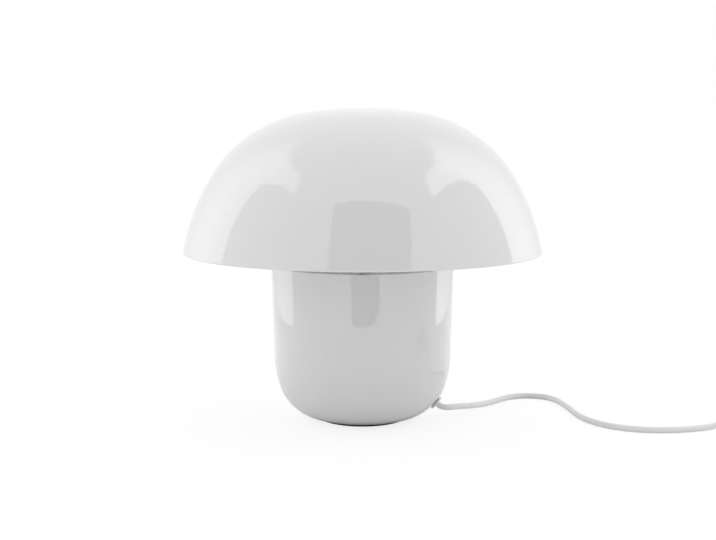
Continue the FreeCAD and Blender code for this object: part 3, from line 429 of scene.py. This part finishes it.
# Places of the cord's middle along its route, the same as in the CAD.
CORD_STUB = Vector((0.066301, -0.014093, 0.011248))
TO_SWITCH = (
    (0.0726, -0.013, 0.0107), (0.080, -0.005, 0.0096), (0.092, 0.009, 0.0069), (0.109, 0.0315, 0.0034),
    (0.134, 0.065, 0.0026), (0.1555, 0.069, 0.0026), (0.173, 0.057, 0.0026), (0.180, 0.022, 0.0026),
    (0.183, -0.014, 0.0026), (0.197, -0.042, 0.0026), (0.224, -0.058, 0.0026), (0.256, -0.058, 0.0026),
    (0.284, -0.048, 0.0026), (0.297, -0.043, 0.0052), (0.310, -0.040, 0.0085),
)
# Inside the switch the cord's core dips under the rocker.
IN_SWITCH = (
    (0.323, -0.040, 0.0085), (0.333, -0.040, 0.0085), (0.342, -0.040, 0.0055),
    (0.358, -0.040, 0.0055), (0.367, -0.040, 0.0085), (0.377, -0.040, 0.0085),
)
TO_COIL = (
    (0.390, -0.040, 0.0085), (0.403, -0.043, 0.0054), (0.418, -0.055, 0.0026), (0.4269, -0.080, 0.0026),
)
TO_PLUG = ((0.371, -0.1429, 0.0079), (0.358, -0.1432, 0.00685), (0.346, -0.1432, 0.00685))
CORD_SMOOTHNESS = 6

# The coil: its middle, its outer radius, the distance between its turns, their number, the share of
# a turn over which the cord climbs to the upper layer, and the length of its straight ends.
COIL_MIDDLE = Vector((0.388, -0.104, 0.0026))
COIL_RADIUS = 38.5 * MM
COIL_PITCH = 5.5 * MM
COIL_TURNS = 6.25
COIL_CLIMB = 0.5
COIL_END = 5 * MM
POINTS_PER_TURN = 24
# A small share of a turn, over which the coil's ends are taken as straight.
END_STEP = 0.001


def coil_point(turns):
    """Middle of the cord after so many turns: in on the lower layer, then out on the upper one."""
    reach = COIL_RADIUS - COIL_PITCH * (COIL_TURNS / 2 - abs(turns - COIL_TURNS / 2))
    climb = min(max((turns - (COIL_TURNS - COIL_CLIMB) / 2) / COIL_CLIMB, 0), 1)
    height = COIL_PITCH * (1 - math.cos(math.pi * climb)) / 2
    angle = -2 * math.pi * turns
    return COIL_MIDDLE + Vector((reach * math.cos(angle), reach * math.sin(angle), height))


def coil_route():
    """The coil's points with its short straight ends."""
    count = int(COIL_TURNS * POINTS_PER_TURN)
    turns = [coil_point(COIL_TURNS * index / count) for index in range(count + 1)]
    before = (turns[0] - coil_point(END_STEP)).normalized() * COIL_END
    after = (turns[-1] - coil_point(COIL_TURNS - END_STEP)).normalized() * COIL_END
    return [turns[0] + before] + turns + [turns[-1] + after]


def make_free_cord():
    """The round mains cord as one smooth line."""
    curve = bpy.data.curves.new("free_cord", "CURVE")
    curve.dimensions = "3D"
    curve.bevel_depth = CORD_RADIUS
    curve.bevel_resolution = CORD_SMOOTHNESS
    curve.resolution_u = CORD_SMOOTHNESS
    curve.use_fill_caps = True
    route = [CORD_EXIT, CORD_STUB, *TO_SWITCH, *IN_SWITCH, *TO_COIL, *coil_route(), *TO_PLUG]
    spline = curve.splines.new("NURBS")
    spline.points.add(len(route) - 1)
    for spot, place in zip(spline.points, route):
        spot.co = (*place, 1.0)
    spline.order_u = 3
    spline.use_endpoint_u = True
    cord = new_object("free_cord", curve)
    paint(cord, "cord_plastic")
    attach(cord, "lamp")
    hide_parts("cord_to_switch", "cord_to_coil", "cord_coil", "cord_to_plug")
    return cord


# ---------------------------------------------------------------- soft rings

RING_STEPS = 128
CORNER_STEPS = 5


def turned(outline):
    """A closed outline of reach and height, turned about the lamp's axis."""
    mesh = bmesh.new()
    rings = []
    for reach, height in outline:
        rings.append([mesh.verts.new((reach * math.cos(angle), reach * math.sin(angle), height))
                      for angle in full_turn(RING_STEPS)])
    for ring, after in zip(rings, rings[1:] + rings[:1]):
        join_rings(mesh, ring, after)
    for face in mesh.faces:
        face.smooth = True
    bmesh.ops.recalc_face_normals(mesh, faces=mesh.faces)
    return mesh


def rounded_section(low, high, bottom, top, radius):
    """A rectangle of reach and height with rounded corners."""
    outline = []
    corners = ((high - radius, bottom + radius, -90), (high - radius, top - radius, 0),
               (low + radius, top - radius, 90), (low + radius, bottom + radius, 180))
    for x, y, start in corners:
        for k in range(CORNER_STEPS + 1):
            angle = math.radians(start + 90 * k / CORNER_STEPS)
            outline.append((x + radius * math.cos(angle), y + radius * math.sin(angle)))
    return outline


def make_soft_ring(name, node, slot, width, rounding):
    """A soft ring of a width, as large and as high as the node that it replaces."""
    low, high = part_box(node)
    outline = rounded_section(high.x - width, high.x, low.z, high.z, rounding)
    ring = new_piece(name, turned(outline), slot, "lamp", node)


# ---------------------------------------------------------------- screws

# Screws of each node: head's height, shank's radius, thread's pitch, and 1 for a head at the top or
# -1 for one at the bottom.
SCREWS = {
    "lid_screws": (2.0 * MM, 1.5 * MM, 0.5 * MM, 1),
    "ballast_screws": (2.2 * MM, 2.0 * MM, 0.7 * MM, -1),
    "switch_screws": (1.1 * MM, 1.05 * MM, 0.7 * MM, -1),
    "clamp_screws": (1.8 * MM, 1.5 * MM, 0.5 * MM, 1),
}
SCREW_STEPS = 40
THREAD_ROWS = 6
# The thread's depth as a share of its pitch.
THREAD_DEPTH = 0.45

# The head's profile, as shares of its radius and height: radius under its rim, rise of its rim, and
# reach and rise of the middle that its domed side bends round, through DOME_TURN degrees.
HEAD_UNDERSIDE = 0.96
HEAD_RIM = 0.1
DOME_REACH = 0.52
DOME_RISE = 0.35
DOME_TURN = 80
DOME_STEPS = 8

# The driver's recess: length and half width of its arms as shares of the head's radius, depth as a
# share of the head's height, size of its bottom as a share of its top, and how far its cutter stands
# out of the head.
ARM_REACH = 0.55
ARM_HALF = 0.13
RECESS_DEPTH = 0.6
RECESS_TAPER = 0.62
CUTTER_RISE = 0.2 * MM

# Corners closer than this are one, and places are sorted to this many digits.
SAME_CORNER = 0.001 * MM
PLACE_DIGITS = 5
# Faces of a screw that meet at more than this many degrees keep a hard edge.
HARD_EDGE = 32


def solids_of(node):
    """Lowest and highest corner of each solid in a node, in a steady order."""
    mesh = bmesh.new()
    mesh.from_mesh(nodes[node].data)
    bmesh.ops.remove_doubles(mesh, verts=mesh.verts, dist=SAME_CORNER)
    left = set(mesh.verts)
    found = []
    while left:
        waiting = [left.pop()]
        places = []
        while waiting:
            corner = waiting.pop()
            places.append(tuple(corner.co))
            beside = {edge.other_vert(corner) for edge in corner.link_edges} & left
            left -= beside
            waiting += beside
        found.append((Vector(map(min, zip(*places))), Vector(map(max, zip(*places)))))
    mesh.free()
    return sorted(found, key=lambda pair: [round(value, PLACE_DIGITS) for value in pair[0]])


def close_solid(mesh, rings):
    """Faces between the rings and over both ends, all facing outward."""
    for ring, after in zip(rings, rings[1:]):
        join_rings(mesh, ring, after)
    mesh.faces.new(rings[0])
    mesh.faces.new(rings[-1])
    bmesh.ops.recalc_face_normals(mesh, faces=mesh.faces)
    return mesh


def spun_solid(rows, centre, base, way, pitch):
    """A closed solid of round rows: reach, height above the base, depth of thread at that row."""
    mesh = bmesh.new()
    rings = []
    for reach, rise, depth in rows:
        ring = []
        for angle in full_turn(SCREW_STEPS):
            wave = (1 - math.cos(2 * math.pi * rise / pitch - angle * way)) / 2
            out = reach - depth * wave
            place = (centre.x + out * math.cos(angle), centre.y + out * math.sin(angle), base + way * rise)
            ring.append(mesh.verts.new(place))
        rings.append(ring)
    return close_solid(mesh, rings)


def cross_cutter(centre, top, way, reach, half, depth):
    """A plus-shaped plug, a little narrower at its bottom, for the driver's recess."""
    plus = ((half, half), (reach, half), (reach, -half), (half, -half), (half, -reach), (-half, -reach),
            (-half, -half), (-reach, -half), (-reach, half), (-half, half), (-half, reach), (half, reach))
    mesh = bmesh.new()
    rings = []
    for height, share in ((top + way * CUTTER_RISE, 1.0), (top - way * depth, RECESS_TAPER)):
        rings.append([mesh.verts.new((centre.x + x * share, centre.y + y * share, height))
                      for x, y in plus])
    return close_solid(mesh, rings)


def cut_away(mesh, tool):
    """One closed mesh less another."""
    whole = new_object("cut", mesh_data("cut", mesh))
    cutter = new_object("cutter", mesh_data("cutter", tool))
    modifier = whole.modifiers.new("cut", "BOOLEAN")
    modifier.operation = "DIFFERENCE"
    modifier.solver = "EXACT"
    modifier.object = cutter
    result = bmesh.new()
    result.from_object(whole, bpy.context.evaluated_depsgraph_get())
    for thing in (whole, cutter):
        bpy.data.meshes.remove(thing.data)
    return result


def screw_mesh(low, high, head_height, shank, pitch, head_way):
    """A pan-head screw with a cross recess and a helical thread, head up or down."""
    centre = (low + high) / 2
    head = (high.x - low.x) / 2
    length = high.z - low.z
    base = low.z if head_way > 0 else high.z
    grip = length - head_height
    depth = pitch * THREAD_DEPTH
    rows = [(shank - depth, 0.0, 0.0)]
    count = int((grip - pitch) / pitch * THREAD_ROWS)
    rows += [(shank, pitch * (0.5 + index / THREAD_ROWS), depth) for index in range(count)]
    rows += [(shank, grip, 0.0), (head * HEAD_UNDERSIDE, grip, 0.0),
             (head, grip + head_height * HEAD_RIM, 0.0)]
    for index in range(DOME_STEPS + 1):
        angle = math.radians(DOME_TURN * index / DOME_STEPS)
        reach = head * (DOME_REACH + (1 - DOME_REACH) * math.cos(angle))
        rise = head_height * (DOME_RISE + (1 - DOME_RISE) * math.sin(angle))
        rows.append((reach, grip + rise, 0.0))
    top = base + head_way * length
    recess = cross_cutter(centre, top, head_way, head * ARM_REACH, head * ARM_HALF,
                          head_height * RECESS_DEPTH)
    return cut_away(spun_solid(rows, centre, base, head_way, pitch), recess)


def soften(data, angle):
    """Smooth shading with hard edges kept where faces meet at more than an angle in degrees."""
    data.polygons.foreach_set("use_smooth", [True] * len(data.polygons))
    data.set_sharp_from_angle(angle=math.radians(angle))


def make_screws():
    """Detailed screws in place of the plain ones, by the name of the node that each stands for."""
    made = {}
    for node, sizes in SCREWS.items():
        joined = bmesh.new()
        for low, high in solids_of(node):
            single = mesh_data("screw", screw_mesh(low, high, *sizes))
            joined.from_mesh(single)
            bpy.data.meshes.remove(single)
        piece = new_piece(node + "_cut", joined, "screw_steel", "lamp", node)
        soften(piece.data, HARD_EDGE)
        made[node] = piece
    return made


# ---------------------------------------------------------------- softened edges

# Moulded and pressed nodes whose sharp edges get a small round.
ROUNDED = {
    "switch_cover": 0.35 * MM, "switch_base": 0.35 * MM, "switch_rocker": 0.25 * MM, "plug_body": 0.4 * MM,
    "carrier_plate": 0.25 * MM, "carrier_seat": 0.25 * MM, "nipple_nuts": 0.25 * MM,
    "holder_skirt": 0.3 * MM, "holder_cap": 0.3 * MM, "stem_lid": 0.3 * MM, "plug_pins": 1.2 * MM,
}
ROUND_SEGMENTS = 3
# Edges whose faces meet at more than this many degrees are rounded.
ROUND_FROM = 50


def round_edges():
    """A bevel on the nodes whose real edges are rounded."""
    for node, width in ROUNDED.items():
        modifier = nodes[node].modifiers.new("round", "BEVEL")
        modifier.width = width
        modifier.segments = ROUND_SEGMENTS
        modifier.limit_method = "ANGLE"
        modifier.angle_limit = math.radians(ROUND_FROM)
        modifier.use_clamp_overlap = True
        modifier.harden_normals = True


# ---------------------------------------------------------------- world

CEILING_LIGHT = 1.0
BACK_LIGHT = 0.95
LEFT_LIGHT = 1.75
RIGHT_LIGHT = 1.95
# The side walls light matt surfaces by this share of what they show in reflections.
SIDE_SPREAD = 0.82
CARD_INNER = 0.93
CARD_OUTER = 1.0
OPENING_LIGHT = 0.24

# Degrees round from the front, or up, over which one part of the room passes into the next.
BACK_FADE = (80.0, 150.0)
BACK_FADE_UP = (40.0, 75.0)
WALL_FADE = (104.0, 152.0)
CARD_FADE = (30.0, 95.0)

# Panels of the room, in degrees round and up.
WALL_MIDDLE = 112.0
WALL = {"half_width": 52.0, "top": 57.0, "corner": 17.0, "softness": 2.5}
LEFT_CARD = {"middle": -59.0, "half_width": 38.5, "top": 45.5, "corner": 18.0, "softness": 0.8}
RIGHT_CARD = {"middle": 67.0, "half_width": 39.0, "top": 44.5, "corner": 18.0, "softness": 0.8}

# The opening, on an upright plane at a distance of one in front of the lamp. Each jamb has its place
# to the side, its lean above eye level and its lean below it. The lintel fades between two heights.
LEFT_JAMB = (-0.375, -0.05, -0.6)
LEFT_SOFTNESS = 0.01
RIGHT_JAMB = (0.51, 0.21, 0.6)
RIGHT_SOFTNESS = 0.015
LINTEL = (1.17, 1.20)
# The opening fades out in directions that hardly point forward, where LEAST_AHEAD is the divisor.
FRONT_FADE = (0.0, 0.05)
LEAST_AHEAD = 0.001


def build_card():
    """Mask of a tall panel seen from the lamp: degrees round and up, with rounded upper corners."""
    tree, given, result = new_group(
        "card_mask",
        [("Around", "Float", 0.0), ("Up", "Float", 0.0), ("Middle", "Float", 0.0),
         ("Half Width", "Float", 40.0), ("Top", "Float", 45.0), ("Corner", "Float", 10.0),
         ("Softness", "Float", 1.0)],
        [("Mask", "Float")])
    corner = given["Corner"]
    softness = given["Softness"]
    offset = maths(tree, "ABSOLUTE", maths(tree, "SUBTRACT", given["Around"], given["Middle"]))
    across = maths(tree, "ADD", maths(tree, "SUBTRACT", offset, given["Half Width"]), corner)
    upward = maths(tree, "ADD", maths(tree, "SUBTRACT", given["Up"], given["Top"]), corner)
    outer = hypotenuse(tree, maths(tree, "MAXIMUM", across, 0.0), maths(tree, "MAXIMUM", upward, 0.0))
    inner = maths(tree, "MINIMUM", maths(tree, "MAXIMUM", across, upward), 0.0)
    distance = maths(tree, "SUBTRACT", maths(tree, "ADD", outer, inner), corner)
    mask = ramp(tree, distance, maths(tree, "MULTIPLY", softness, -1.0), softness, 1.0, 0.0)
    tree.links.new(mask, result["Mask"])
    return tree


def opening_mask(tree, x, front, z):
    """Mask of the opening, which is a little wider at its top than at its foot."""
    ahead = maths(tree, "MAXIMUM", front, LEAST_AHEAD)
    sideways = maths(tree, "DIVIDE", x, ahead)
    rise = maths(tree, "DIVIDE", z, ahead)
    above = maths(tree, "MAXIMUM", rise, 0.0)
    below = maths(tree, "MINIMUM", rise, 0.0)

    def right_of(place, lean_above, lean_below):
        """How far to the right of a leaning jamb."""
        lean = maths(tree, "MULTIPLY", above, lean_above)
        lean = maths(tree, "ADD", lean, maths(tree, "MULTIPLY", below, lean_below))
        return maths(tree, "SUBTRACT", maths(tree, "SUBTRACT", sideways, place), lean)

    mask = ramp(tree, right_of(*LEFT_JAMB), -LEFT_SOFTNESS, LEFT_SOFTNESS)
    right = ramp(tree, right_of(*RIGHT_JAMB), -RIGHT_SOFTNESS, RIGHT_SOFTNESS, 1.0, 0.0)
    lintel = ramp(tree, rise, *LINTEL, 1.0, 0.0)
    for limit in (right, lintel, ramp(tree, front, *FRONT_FADE)):
        mask = maths(tree, "MULTIPLY", mask, limit)
    return mask


def seen(tree, path):
    """1 for what the camera sees, straight or through something clear."""
    return maths(tree, "MAXIMUM", path["Is Camera Ray"], path["Is Transmission Ray"])


def make_world():
    """A white room: bright side walls, paler front cards, and the dark opening behind the camera."""
    world = bpy.data.worlds.new("studio")
    scene.world = world
    world.use_nodes = True
    tree = world.node_tree
    card = build_card()
    x, y, z = split_vector(tree, tree.nodes.new("ShaderNodeTexCoord").outputs["Generated"])
    front = maths(tree, "MULTIPLY", y, -1.0)
    around = maths(tree, "DEGREES", maths(tree, "ARCTAN2", x, front))
    aside = maths(tree, "ABSOLUTE", around)
    up = maths(tree, "DEGREES", maths(tree, "ARCSINE", z))
    path = tree.nodes.new("ShaderNodeLightPath").outputs

    def with_panel(level, light, **shape):
        """The level, with a panel's light where the panel stands."""
        mask = use_group(tree, card, around=around, up=up, **shape).outputs["Mask"]
        return blend(tree, mask, level, light)

    behind = maths(tree, "MULTIPLY", ramp(tree, aside, *BACK_FADE), ramp(tree, up, *BACK_FADE_UP, 1.0, 0.0))
    level = blend(tree, behind, CEILING_LIGHT, BACK_LIGHT)
    for side, shown in ((-1.0, LEFT_LIGHT), (1.0, RIGHT_LIGHT)):
        wall = blend(tree, path["Is Glossy Ray"], shown * SIDE_SPREAD, shown)
        light = blend(tree, ramp(tree, aside, *WALL_FADE), wall, level)
        level = with_panel(level, light, middle=WALL_MIDDLE * side, **WALL)
    light = ramp(tree, aside, *CARD_FADE, CARD_INNER, CARD_OUTER)
    for shape in (LEFT_CARD, RIGHT_CARD):
        level = with_panel(level, light, **shape)
    level = blend(tree, opening_mask(tree, x, front, z), level, OPENING_LIGHT)
    level = blend(tree, seen(tree, path), level, 1.0)
    background = tree.nodes["Background"]
    tree.links.new(level, background.inputs["Color"])
    background.inputs["Strength"].default_value = 1.0


# ---------------------------------------------------------------- floor

FLOOR_COLOUR = 0.93
# What the camera sees: a matt grey that takes the shadow, and a glow that lifts it to white.
FLOOR_SHADOW = 0.22
FLOOR_GLOW = 0.82
FLOOR_REACH = 6.0
FLOOR_SQUARES = 8
# The table's edge in reflections: its sides, its front in the middle, and how its front bows.
TABLE_SIDE = 0.48
TABLE_FRONT = -0.475
TABLE_BOW = 2.8
TABLE_BOW_POWER = 4.0


def join_shaders(tree, kind, *items):
    """Shaders that are added, or mixed by a factor that comes first."""
    node = tree.nodes.new("ShaderNode" + kind)
    for socket, item in zip(node.inputs, items):
        tree.links.new(item, socket)
    return node.outputs[0]


def past_table(tree):
    """1 beyond the table's edge."""
    x, y, _ = split_vector(tree, here(tree))
    aside = maths(tree, "ABSOLUTE", x)
    bow = maths(tree, "POWER", maths(tree, "MULTIPLY", aside, TABLE_BOW), TABLE_BOW_POWER)
    edge = maths(tree, "SUBTRACT", TABLE_FRONT, bow)
    return maths(tree, "MAXIMUM", maths(tree, "GREATER_THAN", aside, TABLE_SIDE),
                 maths(tree, "LESS_THAN", y, edge))


def floor_material():
    """White with a faint shadow.

    Reflections show it with its full shadow, and only as far as a table's edge: past that they show
    the room.
    """
    material = bpy.data.materials.new("floor_white")
    material.use_nodes = True
    tree = material.node_tree
    tree.nodes.remove(tree.nodes["Principled BSDF"])
    path = tree.nodes.new("ShaderNodeLightPath").outputs
    plain = add_node(tree, "BsdfDiffuse", color=grey(FLOOR_COLOUR)).outputs[0]
    faint = add_node(tree, "BsdfDiffuse", color=grey(FLOOR_SHADOW)).outputs[0]
    glow = add_node(tree, "Emission", color=grey(1.0), strength=FLOOR_GLOW).outputs[0]
    white = add_node(tree, "BsdfDiffuse", color=grey(1.0)).outputs[0]
    clear = add_node(tree, "BsdfTransparent").outputs[0]
    mirrored = join_shaders(tree, "MixShader", past_table(tree), white, clear)
    surface = join_shaders(tree, "MixShader", path["Is Glossy Ray"], plain, mirrored)
    shown = join_shaders(tree, "AddShader", faint, glow)
    surface = join_shaders(tree, "MixShader", seen(tree, path), surface, shown)
    tree.links.new(surface, tree.nodes["Material Output"].inputs["Surface"])
    return material


def make_floor():
    """A wide white floor under the lamp."""
    mesh = bmesh.new()
    bmesh.ops.create_grid(mesh, x_segments=FLOOR_SQUARES, y_segments=FLOOR_SQUARES, size=FLOOR_REACH)
    floor = new_object("floor", mesh_data("floor", mesh))
    floor.data.materials.append(floor_material())


# ---------------------------------------------------------------- the lamp

make_camera()
scene.view_settings.view_transform = "Standard"
MATERIALS = make_materials()
paint_nodes()
free_cord = make_free_cord()
# Foam ring under the stem, and the silicone ring on the carrier's seat that the shade rests on.
make_soft_ring("foot_ring", "foot_pad", "foot_rubber", width=10 * MM, rounding=0.35 * MM)
make_soft_ring("seat_ring", "seat_cushion", "silicone", width=9 * MM, rounding=0.8 * MM)
screws = make_screws()
round_edges()
make_world()
make_floor()
